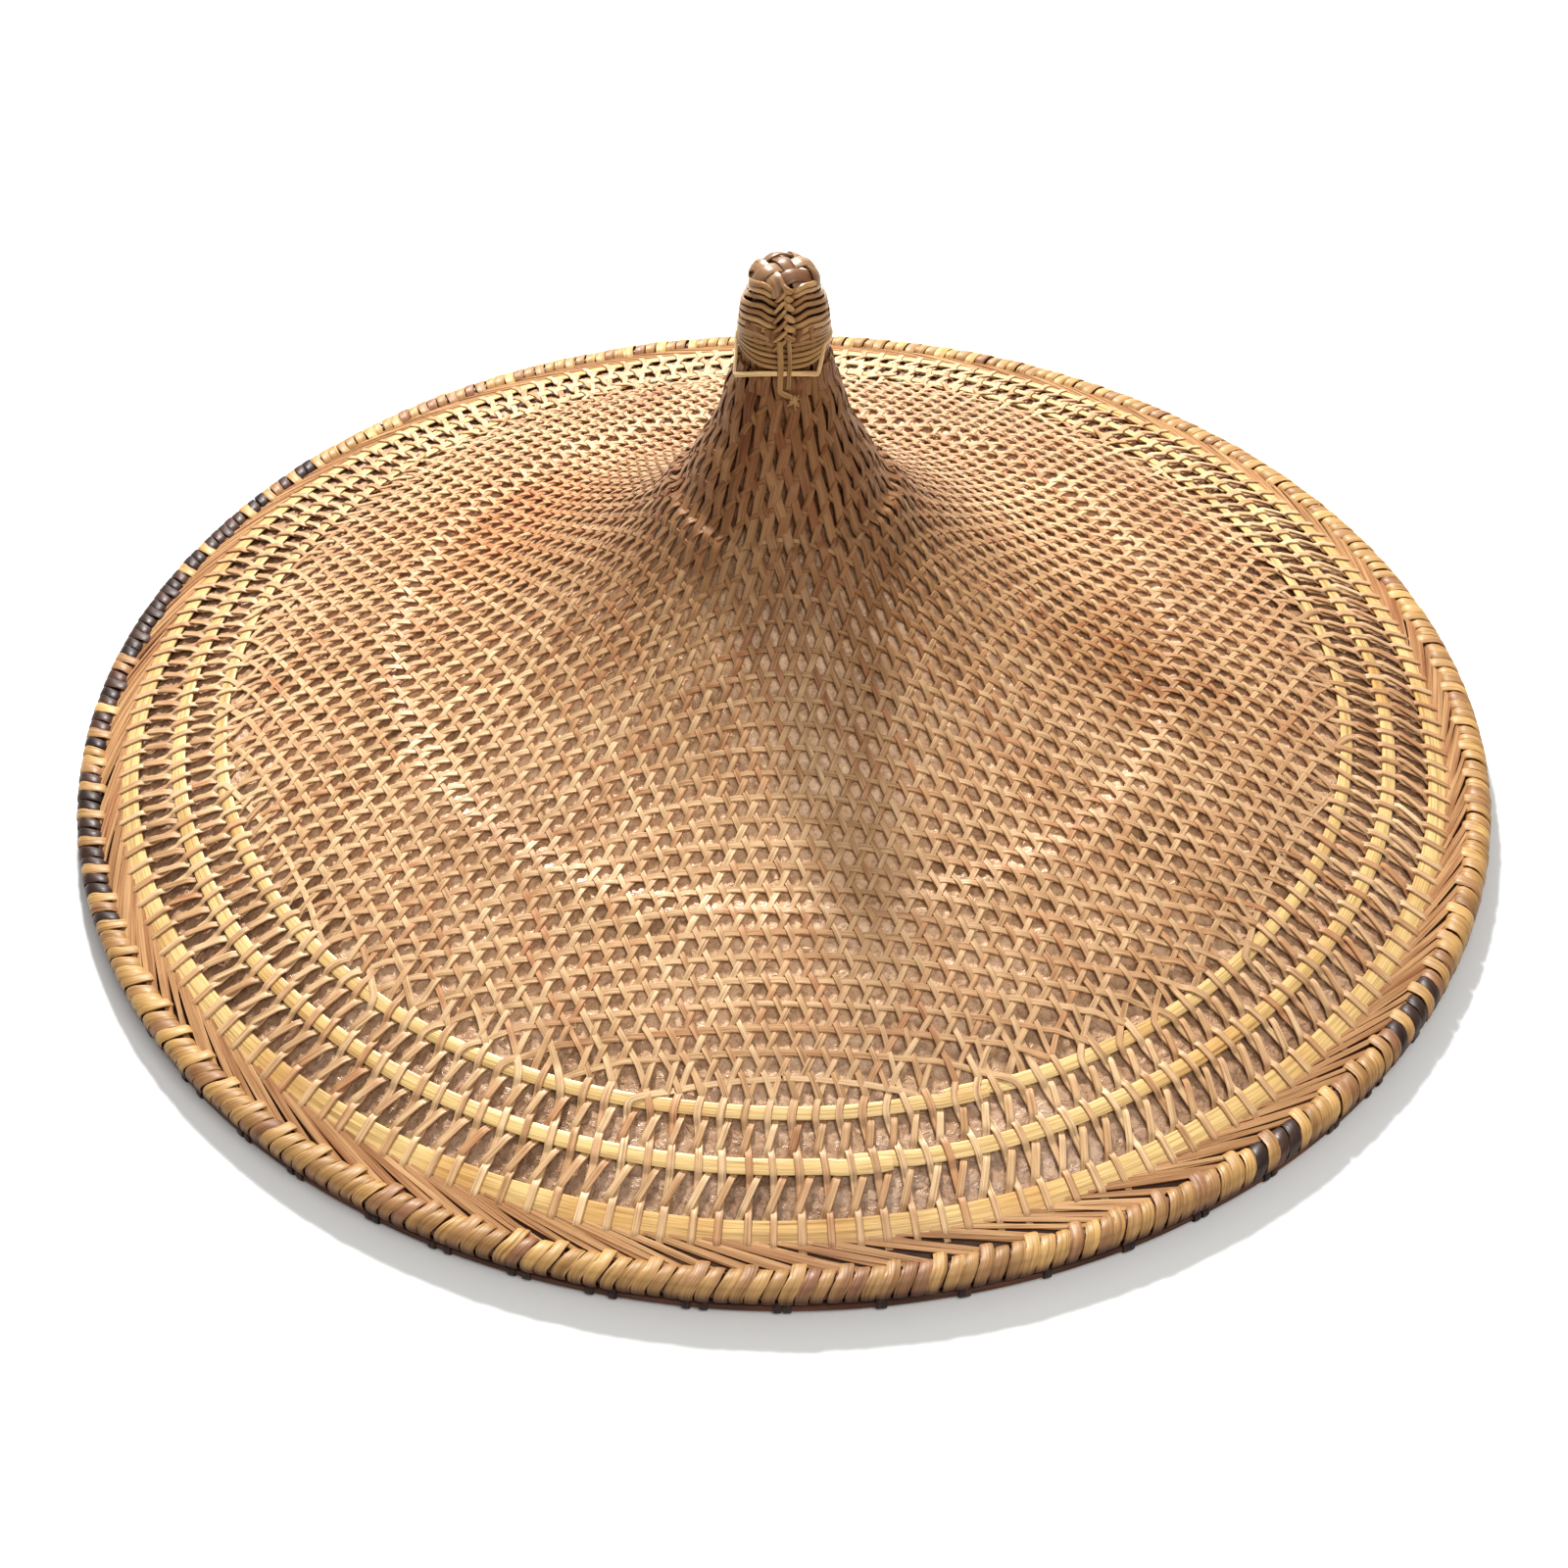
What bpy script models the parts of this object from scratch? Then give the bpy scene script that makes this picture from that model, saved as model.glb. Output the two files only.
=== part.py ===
"""Conical hat: two woven splint shells around a leaf lining, three flat hoops, a wrapped rim,
a plaited tip and a woven head ring.

Units are metres and +Z is up. The origin is on the hat's axis, in the plane of the surface that
the rim rests on. The front, where the tip's plait is, faces -Y. Angles are in degrees about the
axis, counter-clockwise from +X as seen from above.
"""

import math

import bmesh
import bpy
import numpy as np
from mathutils import Matrix

SEGMENTS = 48  # facets in every full ring, so that neighbouring rings' facets lie parallel
GAP = 0.0003  # between pieces that touch on the real hat

# Rim: a round bundle, with a second hoop below it that the hat rests on
RIM_RADIUS = 0.226
RIM_CENTRE = 0.0082
RIM_CORE = 0.0024
BINDING_INSIDE = 0.0029
BINDING_OUTSIDE = 0.0042
BINDING_MOUTH = 64  # degrees of the bundle's section left open for the weave's edge
BINDING_LENGTHS = ("back_right", "back", "back_left", "front_left", "front", "front_right")
UNDER_HOOP = (0.2235, 0.2290)
UNDER_HOOP_HEIGHT = 0.0036
UNDER_HOOP_CHAMFER = 0.0008

# Crown: the outer surface of the outer weave, as radius and height above CROWN_LEVEL
CROWN_LEVEL = 0.0090
CROWN_OUTLINE = (
    (0.0142, 0.1420),
    (0.0162, 0.1330),
    (0.0187, 0.1240),
    (0.0260, 0.1090),
    (0.0358, 0.0925),
    (0.0515, 0.0755),
    (0.0735, 0.0600),
    (0.1020, 0.0445),
    (0.1360, 0.0340),
    (0.1580, 0.0265),
    (0.1820, 0.0170),
    (0.2130, 0.0060),
    (0.2260, 0.0000),
)
SHELL_STATIONS = 17
STATION_SPREAD = 1.7  # above 1 sets the stations closer together near the tip
OUTER_WEAVE = (0.0000, 0.0018)  # depths of each layer's two faces below the outer surface
LEAF_LINING = (0.0021, 0.0027)
INNER_WEAVE = (0.0030, 0.0046)
OUTER_WEAVE_EDGE = 0.2234
LINING_EDGE = 0.2205
LINING_TOP = 0.0150

# Flat hoops on the crown: radius of the middle line, width
HOOPS = {
    "inner_hoop": (0.1822, 0.0040),
    "middle_hoop": (0.1963, 0.0045),
    "outer_hoop": (0.2128, 0.0067),
}
HOOP_THICKNESS = 0.0010
BORDER = (0.2164, 0.2217)
BORDER_THICKNESS = 0.0023

# Tip: heights are above TIP_BASE
TIP_BASE = 0.1446
CORE_RADIUS = 0.0100
CORE_TAIL = (0.0088, -0.0100)
LOOPS = (0.0080, 0.0172)
LOOPS_RADIUS = 0.0136
WRAP_COUNT = 6
WRAP_FOOT = 0.0175
WRAP_RISE = 0.0021
WRAP_THICKNESS = 0.0022
DOME_FOOT = 0.0125  # outer radius of the wraps at their foot and at the top
DOME_TOP = 0.0100
PLAIT_HALF_ANGLE = 16
PLAIT_CLEARANCE = 2
FRONT = 270
TIE_HEIGHT = 0.0064
END_WIDTH = 0.0015
END_THICKNESS = 0.0008

# Head ring, which hangs inside the crown
HEAD_RADIUS = 0.0860
HEAD_TOP = 0.0515
HEAD_DEPTH = 0.0340
HEAD_BAND_THICKNESS = 0.0016
HEAD_HOOP = (0.0030, 0.0036)
TIE_COUNT = 6
TIE_THICKNESS = 0.0010
TIE_LEG = 0.0050
TIE_SWEEP = 2.4
STEM_CLEARANCE = 0.0012  # allows for the weave's facets

# Finishes: base colour, roughness
TAN_SPLINT = ((0.63, 0.42, 0.22), 0.50)
INNER_SPLINT = ((0.60, 0.43, 0.25), 0.60)
PALE_BAMBOO = ((0.72, 0.54, 0.28), 0.42)
DRY_LEAF = ((0.42, 0.29, 0.20), 0.38)
BORDER_SPLINT = ((0.52, 0.33, 0.20), 0.50)
CORE_BAMBOO = ((0.20, 0.09, 0.05), 0.45)
RIM_SPLINT = ((0.62, 0.45, 0.26), 0.42)
TIP_SPLINT = ((0.36, 0.21, 0.10), 0.35)

SMOOTH_BELOW = math.radians(40)


def clear_scene():
    for old in list(bpy.data.objects):
        bpy.data.objects.remove(old, do_unlink=True)


def new_collection(name):
    collection = bpy.data.collections.new(name)
    bpy.context.scene.collection.children.link(collection)
    return collection


def new_material(name, finish):
    colour, roughness = finish
    material = bpy.data.materials.new(name)
    material.use_nodes = True
    shader = material.node_tree.nodes["Principled BSDF"]
    shader.inputs["Base Color"].default_value = (*colour, 1)
    shader.inputs["Roughness"].default_value = roughness
    shader.inputs["Metallic"].default_value = 0
    return material


def add_piece(name, mesh, finish):
    mesh.materials.append(new_material(name, finish))
    piece = bpy.data.objects.new(name, mesh)
    HAT.objects.link(piece)
    return piece


def turned(name, outline, finish, steps=SEGMENTS):
    """A turned piece. Its outline runs down the outer side, as (radius, height), and is closed
    into a loop unless both its ends lie on the axis."""
    count = len(outline)
    edges = [(i, i + 1) for i in range(count - 1)]
    if outline[0][0] > 0:
        edges.append((count - 1, 0))
    mesh = bpy.data.meshes.new(name)
    mesh.from_pydata([(radius, 0, height) for radius, height in outline], edges, [])
    piece = add_piece(name, mesh, finish)
    screw = piece.modifiers.new("Turn", "SCREW")
    screw.steps = screw.render_steps = steps
    screw.use_merge_vertices = True
    screw.merge_threshold = 0.00001
    return piece


def sector(name, section, start, sweep, steps, finish):
    """Part of a ring: a closed section turned through sweep degrees, with flat ends."""
    bm = bmesh.new()
    corners = [bm.verts.new((radius, 0, height)) for radius, height in section]
    face = bm.faces.new(corners)
    turn = Matrix.Rotation(math.radians(start), 3, "Z")
    bmesh.ops.rotate(bm, verts=corners, cent=(0, 0, 0), matrix=turn)
    bmesh.ops.spin(
        bm,
        geom=[*corners, *face.edges, face],
        cent=(0, 0, 0),
        axis=(0, 0, 1),
        angle=math.radians(sweep),
        steps=steps,
    )
    bmesh.ops.recalc_face_normals(bm, faces=bm.faces)
    mesh = bpy.data.meshes.new(name)
    bm.to_mesh(mesh)
    bm.free()
    return add_piece(name, mesh, finish)


def crown_height(radius):
    """Height of the crown's outer surface: a cubic through the outline's points. It is taken
    over the logarithm of the radius, in which the steep tip and the flat brim are both gentle."""
    radii, heights = np.array(CROWN_OUTLINE).T
    spans = np.log(radii)
    slopes = np.gradient(heights, spans)
    at = math.log(radius)
    i = min(max(int(np.searchsorted(spans, at)) - 1, 0), len(spans) - 2)
    width = spans[i + 1] - spans[i]
    t = (at - spans[i]) / width
    blend = t * t * (3 - 2 * t)
    height = heights[i] * (1 - blend) + heights[i + 1] * blend
    height += width * t * (1 - t) * (slopes[i] * (1 - t) - slopes[i + 1] * t)
    return CROWN_LEVEL + float(height)


def crown_slope(radius, step=0.0002):
    return (crown_height(radius + step) - crown_height(radius - step)) / (2 * step)


def under_crown(radius, depth):
    """The point at a depth square below the outer surface, where that surface has this radius.
    A negative depth is above it."""
    slope = crown_slope(radius)
    length = math.hypot(1, slope)
    return radius + depth * slope / length, crown_height(radius) - depth / length


def shell_outline(depths, top, edge):
    """A layer of the crown between two depths, from its hole at the tip to its lower edge."""
    shares = np.linspace(0, 1, SHELL_STATIONS) ** STATION_SPREAD
    radii = [top + (edge - top) * share for share in shares]
    outside = [under_crown(radius, depths[0]) for radius in radii]
    inside = [under_crown(radius, depths[1]) for radius in reversed(radii)]
    return outside + inside


def strip_outline(low, high, thickness):
    """A flat strip that lies on the crown, between two radii."""
    outside = [under_crown(radius, -GAP - thickness) for radius in (low, high)]
    return outside + [under_crown(radius, -GAP) for radius in (high, low)]


def arc_points(centre, radius, start, sweep, count):
    turns = (math.radians(start + sweep * i / (count - 1)) for i in range(count))
    return [(centre[0] + radius * math.cos(a), centre[1] + radius * math.sin(a)) for a in turns]


def box_outline(low, high, bottom, top):
    return [(high, top), (high, bottom), (low, bottom), (low, top)]


def lifted(outline):
    return [(radius, TIP_BASE + height) for radius, height in outline]


def make_shells():
    outer_top = CROWN_OUTLINE[0][0] + 0.0001
    turned("outer_weave", shell_outline(OUTER_WEAVE, outer_top, OUTER_WEAVE_EDGE), TAN_SPLINT)
    turned("leaf_lining", shell_outline(LEAF_LINING, LINING_TOP, LINING_EDGE), DRY_LEAF)
    turned("inner_weave", shell_outline(INNER_WEAVE, LINING_TOP, LINING_EDGE), INNER_SPLINT)


def make_hoops():
    for name, (radius, width) in HOOPS.items():
        reach = width / 2 / math.hypot(1, crown_slope(radius))
        outline = strip_outline(radius - reach, radius + reach, HOOP_THICKNESS)
        turned(name, outline, PALE_BAMBOO)
    turned("border_braid", strip_outline(*BORDER, BORDER_THICKNESS), BORDER_SPLINT)


def make_rim():
    centre = (RIM_RADIUS, RIM_CENTRE)
    core = arc_points(centre, RIM_CORE, 22.5, -315, 8)
    turned("rim_hoop", core, CORE_BAMBOO)

    inner, outer = UNDER_HOOP
    cut = UNDER_HOOP_CHAMFER
    under = [
        (outer - cut, UNDER_HOOP_HEIGHT),
        (outer, UNDER_HOOP_HEIGHT - cut),
        (outer, cut),
        (outer - cut, 0),
        (inner + cut, 0),
        (inner, cut),
        (inner, UNDER_HOOP_HEIGHT),
    ]
    turned("rim_under_hoop", under, CORE_BAMBOO)

    # The mouth faces up the weave's slope, so that the weave's edge goes in square
    mouth = 180 + math.degrees(math.atan(crown_slope(OUTER_WEAVE_EDGE)))
    begin, sweep = mouth - BINDING_MOUTH / 2, BINDING_MOUTH - 360
    section = arc_points(centre, BINDING_OUTSIDE, begin, sweep, 8)
    section += reversed(arc_points(centre, BINDING_INSIDE, begin, sweep, 8))
    length = 360 / len(BINDING_LENGTHS)
    end_gap = math.degrees(GAP / RIM_RADIUS)
    steps = SEGMENTS // len(BINDING_LENGTHS)
    for i, place in enumerate(BINDING_LENGTHS):
        sector(f"rim_binding_{place}", section, i * length, length - end_gap, steps, RIM_SPLINT)


def dome_radius(height):
    """Outer radius of the tip's wraps, which draw in towards the top like a dome."""
    share = (height - WRAP_FOOT) / (WRAP_COUNT * WRAP_RISE)
    return DOME_FOOT + (DOME_TOP - DOME_FOOT) * share**2


def make_tip():
    top = WRAP_FOOT + WRAP_COUNT * WRAP_RISE
    tail_radius, tail_end = CORE_TAIL
    core = [
        (0, top - 0.0030),
        (DOME_TOP - WRAP_THICKNESS - 0.0010, top - 0.0032),
        (DOME_FOOT - WRAP_THICKNESS - 0.0012, top - 0.0075),
        (CORE_RADIUS, WRAP_FOOT),
        (CORE_RADIUS, 0.0010),
        (tail_radius, -0.0010),
        (tail_radius, tail_end),
        (0, tail_end),
    ]
    turned("tip_core", lifted(core), CORE_BAMBOO, SEGMENTS // 2)

    inside = CORE_RADIUS + 0.0005
    low, high = LOOPS
    loops = [
        (LOOPS_RADIUS - 0.0012, high),
        (LOOPS_RADIUS - 0.0003, (low + high) / 2 + 0.0020),
        (LOOPS_RADIUS, (low + high) / 2 - 0.0020),
        (LOOPS_RADIUS - 0.0002, low),
        (inside, low),
        (inside, high),
    ]
    turned("tip_lower_loops", lifted(loops), TIP_SPLINT, SEGMENTS // 2)

    # Each wrap runs from one side of the plait round the back to its other side
    opening = PLAIT_HALF_ANGLE + PLAIT_CLEARANCE
    for i in range(WRAP_COUNT):
        foot = WRAP_FOOT + i * WRAP_RISE
        head = foot + WRAP_RISE - GAP
        outside = [(dome_radius(height), height) for height in (head, foot)]
        inner_side = [(radius - WRAP_THICKNESS, height) for radius, height in reversed(outside)]
        start, sweep = FRONT + opening, 360 - 2 * opening
        wrap = lifted(outside + inner_side)
        sector(f"tip_wrap_{i + 1}", wrap, start, sweep, SEGMENTS // 2, TIP_SPLINT)

    plait = [
        (0.0096, top - 0.0006),
        (0.0120, top - 0.0022),
        (0.0133, WRAP_FOOT + 0.0040),
        (0.0135, WRAP_FOOT),
        (inside, WRAP_FOOT),
        (inside, WRAP_FOOT + 0.0040),
        (0.0090, top - 0.0040),
    ]
    start, sweep = FRONT - PLAIT_HALF_ANGLE, 2 * PLAIT_HALF_ANGLE
    sector("tip_front_plait", lifted(plait), start, sweep, 4, TIP_SPLINT)

    knot = [
        (0, top + 0.0048),
        (0.0040, top + 0.0041),
        (0.0075, top + 0.0022),
        (0.0092, top + GAP),
        (0.0070, top + GAP),
        (0.0052, top - 0.0022),
        (0, top - 0.0024),
    ]
    turned("tip_knot", lifted(knot), TIP_SPLINT, SEGMENTS // 2)

    tie = box_outline(0.0134, 0.0144, TIE_HEIGHT, TIE_HEIGHT + 0.0013)
    turned("tip_tie", lifted(tie), PALE_BAMBOO, SEGMENTS // 2)


def make_tip_ends():
    """The two loose ends that hang from the plait, and the small knot at their foot."""
    face = 0.0148
    for side, x in (("left", -0.0012), ("right", 0.0014)):
        bpy.ops.mesh.primitive_cube_add(size=1)
        end = bpy.context.object
        end.name = end.data.name = f"tip_end_{side}"
        stretch(end, (END_WIDTH, END_THICKNESS, 0.0140))
        end.location = (x, -face - END_THICKNESS / 2 - GAP, TIP_BASE + 0.0105)
        adopt(end, PALE_BAMBOO)
    bpy.ops.mesh.primitive_uv_sphere_add(segments=12, ring_count=8, radius=1)
    knot = bpy.context.object
    knot.name = knot.data.name = "tip_end_knot"
    stretch(knot, (0.0022, 0.0012, 0.0013))
    knot.location = (0.0028, -face - 0.0028, TIP_BASE + 0.0006)
    adopt(knot, PALE_BAMBOO)


def stretch(piece, size):
    """Scales a primitive's own mesh, so that the object keeps a scale of 1."""
    piece.data.transform(Matrix.Diagonal((*size, 1)))


def adopt(piece, finish):
    """Moves an object made by an operator into the hat's collection."""
    for collection in list(piece.users_collection):
        collection.objects.unlink(piece)
    piece.data.materials.append(new_material(piece.name, finish))
    HAT.objects.link(piece)


def make_head_ring():
    hoop_width, hoop_height = HEAD_HOOP
    low, high = HEAD_RADIUS - hoop_width / 2, HEAD_RADIUS + hoop_width / 2
    bottom = HEAD_TOP - HEAD_DEPTH
    turned("head_top_hoop", box_outline(low, high, HEAD_TOP - hoop_height, HEAD_TOP), RIM_SPLINT)
    turned("head_bottom_hoop", box_outline(low, high, bottom, bottom + hoop_height), RIM_SPLINT)
    half = HEAD_BAND_THICKNESS / 2
    band = box_outline(
        HEAD_RADIUS - half,
        HEAD_RADIUS + half,
        bottom + hoop_height + GAP,
        HEAD_TOP - hoop_height - GAP,
    )
    turned("head_band", band, INNER_SPLINT)

    # A tie hooks over the top hoop, and its stem reaches up to the inner weave
    foot = HEAD_TOP - TIE_LEG
    under_roof = HEAD_TOP + GAP
    roof = under_roof + TIE_THICKNESS
    stem_in, stem_out = HEAD_RADIUS - TIE_THICKNESS, HEAD_RADIUS + TIE_THICKNESS
    clear = STEM_CLEARANCE + INNER_WEAVE[1] * math.hypot(1, crown_slope(HEAD_RADIUS))
    section = [
        (high + GAP + TIE_THICKNESS, foot),
        (high + GAP + TIE_THICKNESS, roof),
        (stem_out, roof),
        (stem_out, crown_height(stem_out) - clear),
        (stem_in, crown_height(stem_in) - clear),
        (stem_in, roof),
        (low - GAP - TIE_THICKNESS, roof),
        (low - GAP - TIE_THICKNESS, foot),
        (low - GAP, foot),
        (low - GAP, under_roof),
        (high + GAP, under_roof),
        (high + GAP, foot),
    ]
    for i in range(TIE_COUNT):
        start = FRONT + i * 360 / TIE_COUNT - TIE_SWEEP / 2
        sector(f"head_tie_{i + 1}", section, start, TIE_SWEEP, 1, RIM_SPLINT)


def shade_smooth(piece):
    """Applies the piece's modifiers, then shades it smooth except at its sharp edges."""
    graph = bpy.context.evaluated_depsgraph_get()
    mesh = bpy.data.meshes.new_from_object(piece.evaluated_get(graph))
    piece.modifiers.clear()
    piece.data = mesh
    mesh.shade_smooth()
    mesh.set_sharp_from_angle(angle=SMOOTH_BELOW)


clear_scene()
HAT = new_collection("conical_hat")
make_shells()
make_hoops()
make_rim()
make_tip()
make_tip_ends()
make_head_ring()
bpy.context.view_layer.update()
for hat_piece in HAT.objects:
    shade_smooth(hat_piece)
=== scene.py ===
"""Looks of the conical hat: every splint, hoop, turn of the rim and strip of the tip as geometry.

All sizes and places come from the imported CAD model. Lengths are in metres. A point on the crown is
given as (arc, azimuth, lift): the distance down the crown's profile from the top of its neck, the
angle about the axis, and the height square to the CAD's outer surface. The front is at -Y.
"""

import math
import random

import bpy
import numpy as np
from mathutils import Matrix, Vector


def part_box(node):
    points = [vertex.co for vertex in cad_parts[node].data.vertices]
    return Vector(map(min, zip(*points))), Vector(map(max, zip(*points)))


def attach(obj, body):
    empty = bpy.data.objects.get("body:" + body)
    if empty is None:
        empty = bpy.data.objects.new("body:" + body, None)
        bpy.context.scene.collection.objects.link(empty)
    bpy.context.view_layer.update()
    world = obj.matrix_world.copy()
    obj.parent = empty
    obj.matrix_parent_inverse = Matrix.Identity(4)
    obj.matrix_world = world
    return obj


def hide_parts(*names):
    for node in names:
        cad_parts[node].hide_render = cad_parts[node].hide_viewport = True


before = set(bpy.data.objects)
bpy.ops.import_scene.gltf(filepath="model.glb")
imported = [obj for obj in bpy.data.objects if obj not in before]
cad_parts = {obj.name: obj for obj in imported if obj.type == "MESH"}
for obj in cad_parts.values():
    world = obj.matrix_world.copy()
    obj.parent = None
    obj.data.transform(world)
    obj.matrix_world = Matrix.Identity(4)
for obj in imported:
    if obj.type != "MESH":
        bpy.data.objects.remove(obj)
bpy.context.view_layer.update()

MM = 0.001
FRONT = math.radians(270)
TURN = 2 * math.pi
rng = random.Random(7)


# ------ the CAD's shape

def node_points(name):
    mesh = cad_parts[name].data
    flat = np.zeros(len(mesh.vertices) * 3)
    mesh.vertices.foreach_get("co", flat)
    return flat.reshape(-1, 3)


def ring_size(name):
    """Inner radius, outer radius, lowest and highest point of a node that is round the axis."""
    points = node_points(name)
    radii = np.hypot(points[:, 0], points[:, 1])
    return radii.min(), radii.max(), points[:, 2].min(), points[:, 2].max()


def outer_profile():
    """Radii and heights of the outer face of the outer weave, top first, from the CAD's vertices.
    A vertex is on the inner face if another one lies close by, outwards and above it."""
    points = node_points("outer_weave")
    flat = np.stack([np.hypot(points[:, 0], points[:, 1]), points[:, 2]], 1)
    flat = np.unique(np.round(flat, 6), axis=0)
    keep = []
    for point in flat:
        step = flat - point
        away = np.hypot(*step.T)
        beside = (step > -1e-5).all(1) & (away > 1e-4) & (away < 3 * MM)
        if not beside.any():
            keep.append(point)
    keep = np.array(sorted(keep, key=lambda p: -p[1]))
    return keep[:, 0], keep[:, 1]


def polar(radius, azimuth, height):
    """Points at these distances from the axis, azimuths and heights. Any of them may be one
    number. With radius 1 and height 0 they are directions outwards."""
    across, deep = radius * np.cos(azimuth), radius * np.sin(azimuth)
    return np.stack(np.broadcast_arrays(across, deep, height), -1)


def right_round(count):
    """Even angles round a full turn, without its end."""
    return np.linspace(0, TURN, count, endpoint=False)


def half_turned(angle):
    """The same angle, as at most half a turn either way."""
    return (angle + math.pi) % TURN - math.pi


def unit(vectors):
    return vectors / (np.linalg.norm(vectors, axis=1)[:, None] + 1e-12)


def hermite(x, knots, values):
    """A smooth curve through knots."""
    slopes = np.gradient(values, knots)
    i = np.clip(np.searchsorted(knots, x) - 1, 0, len(knots) - 2)
    width = knots[i + 1] - knots[i]
    t = (x - knots[i]) / width
    blend = t * t * (3 - 2 * t)
    curve = width * t * (1 - t) * (slopes[i] * (1 - t) - slopes[i + 1] * t)
    return values[i] * (1 - blend) + values[i + 1] * blend + curve


knot_radii, knot_heights = outer_profile()
core_inner, core_outer, core_low, core_high = ring_size("rim_hoop")
RIM_RADIUS = (core_inner + core_outer) / 2
RIM_HEIGHT = (core_low + core_high) / 2
RADII = np.linspace(knot_radii[0], RIM_RADIUS + 2 * MM, 2400)
HEIGHTS = hermite(np.log(RADII), np.log(knot_radii), knot_heights)
past = RADII > knot_radii[-1]
edge_slope = (knot_heights[-1] - knot_heights[-2]) / (knot_radii[-1] - knot_radii[-2])
HEIGHTS[past] = knot_heights[-1] + edge_slope * (RADII[past] - knot_radii[-1])
ARCS = np.concatenate([[0], np.cumsum(np.hypot(np.diff(RADII), np.diff(HEIGHTS)))])
SLOPES = np.gradient(HEIGHTS, RADII)


def arc_at(radius):
    return float(np.interp(radius, RADII, ARCS))


def on_crown(arc, azimuth, lift):
    """Points and outward normals on the crown, as arrays."""
    radius = np.interp(arc, ARCS, RADII)
    height = np.interp(arc, ARCS, HEIGHTS)
    slope = np.interp(arc, ARCS, SLOPES)
    length = np.hypot(1, slope)
    out, up = -slope / length, 1 / length
    return polar(radius + lift * out, azimuth, height + lift * up), polar(out, azimuth, up)


# ------ ribbons

FLAT = ((-1, -0.6), (-0.82, 1), (0.82, 1), (1, -0.6))
ROUNDED = ((-1, -0.7), (-1, 0.3), (-0.7, 0.95), (0, 1.1), (0.7, 0.95), (1, 0.3), (1, -0.7), (0, -1))


class Ribbons:
    """Gathers strips with one cross-section into a mesh. Each vertex keeps its strip's tone, and
    its place across and along the strip, which the materials' grain follows."""

    def __init__(self, section=FLAT):
        self.section = np.array(section, float)
        self.points, self.faces, self.places, self.tones = [], [], [], []
        self.count = 0

    def add(self, points, normals, half_width, half_thickness, tone=None, closed=False):
        """A strip along the points, lying square to the normals."""
        points, normals = np.asarray(points, float), np.asarray(normals, float)
        if closed:
            around = np.concatenate([points[-1:], points, points[:1]])
            tangents = around[2:] - around[:-2]
        else:
            tangents = np.gradient(points, axis=0)
        tangents = unit(tangents)
        sides = unit(np.cross(tangents, normals))
        ups = np.cross(sides, tangents)
        n, m = len(points), len(self.section)
        wide = np.broadcast_to(half_width, (n,))[:, None, None]
        thick = np.broadcast_to(half_thickness, (n,))[:, None, None]
        across = self.section[None, :, 0, None] * wide * sides[:, None]
        rise = self.section[None, :, 1, None] * thick * ups[:, None]
        self.points.append((points[:, None] + across + rise).reshape(-1, 3))
        steps = np.linalg.norm(np.diff(points, axis=0), axis=1)
        place = np.zeros((n, m, 3))
        place[..., 0] = self.section[None, :, 0] * wide[..., 0]
        place[..., 1] = np.concatenate([[0], np.cumsum(steps)])[:, None]
        place[..., 2] = rng.random()
        self.places.append(place.reshape(-1, 3))
        self.tones.append(np.full(n * m, rng.random() if tone is None else tone))
        ring = np.arange(m)
        last = n if closed else n - 1
        i = np.arange(last)[:, None] * m
        j = (np.arange(1, last + 1) % n)[:, None] * m
        nxt = (ring + 1) % m
        quads = np.stack([i + ring, i + nxt, j + nxt, j + ring], -1).reshape(-1, 4)
        self.faces.extend((quads[:, ::-1] + self.count).tolist())
        if not closed:
            self.faces.append((ring[::-1] + self.count)[::-1].tolist())
            self.faces.append((ring + self.count + (n - 1) * m)[::-1].tolist())
        self.count += n * m

    def build(self, name, material, slot, *nodes):
        mesh = bpy.data.meshes.new(name)
        mesh.from_pydata(np.concatenate(self.points).tolist(), [], self.faces)
        set_attribute(mesh, "place", "FLOAT_VECTOR", np.concatenate(self.places))
        set_attribute(mesh, "tone", "FLOAT", np.concatenate(self.tones))
        add_piece(name, mesh, material, nodes, sharp=38)


def set_attribute(mesh, name, kind, values):
    layer = mesh.attributes.new(name, kind, "POINT")
    layer.data.foreach_set("vector" if kind == "FLOAT_VECTOR" else "value", values.ravel())


def add_piece(name, mesh, material, nodes, sharp):
    """Makes a piece of a mesh, smooth apart from edges sharper than that many degrees."""
    mesh.shade_smooth()
    mesh.set_sharp_from_angle(angle=math.radians(sharp))
    mesh.materials.append(material)
    piece = bpy.data.objects.new(name, mesh)
    bpy.context.scene.collection.objects.link(piece)
    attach(piece, "root")
    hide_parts(*nodes)


def smoothstep(x):
    x = np.clip(x, 0, 1)
    return x * x * (3 - 2 * x)


WANDER_SAMPLES = 14  # samples along a strip between the places where its drift changes


def wander(count, size):
    """A slow random drift along a strip, as an array of that many samples."""
    drifts = [rng.gauss(0, size) for _ in range(max(count // WANDER_SAMPLES, 3))]
    return np.interp(np.linspace(0, 1, count), np.linspace(0, 1, len(drifts)), drifts)


def blurred(values, reach=3):
    """A running mean over that many values each way."""
    kernel = np.ones(2 * reach + 1) / (2 * reach + 1)
    return np.convolve(np.pad(values, reach, "edge"), kernel, "valid")


# ------ materials

WHITE = (1, 1, 1)
BLACK = (0, 0, 0)


def new_nodes(name):
    material = bpy.data.materials.new(name)
    material.use_nodes = True
    return material, Graph(material.node_tree), material.node_tree.nodes["Principled BSDF"]


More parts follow.
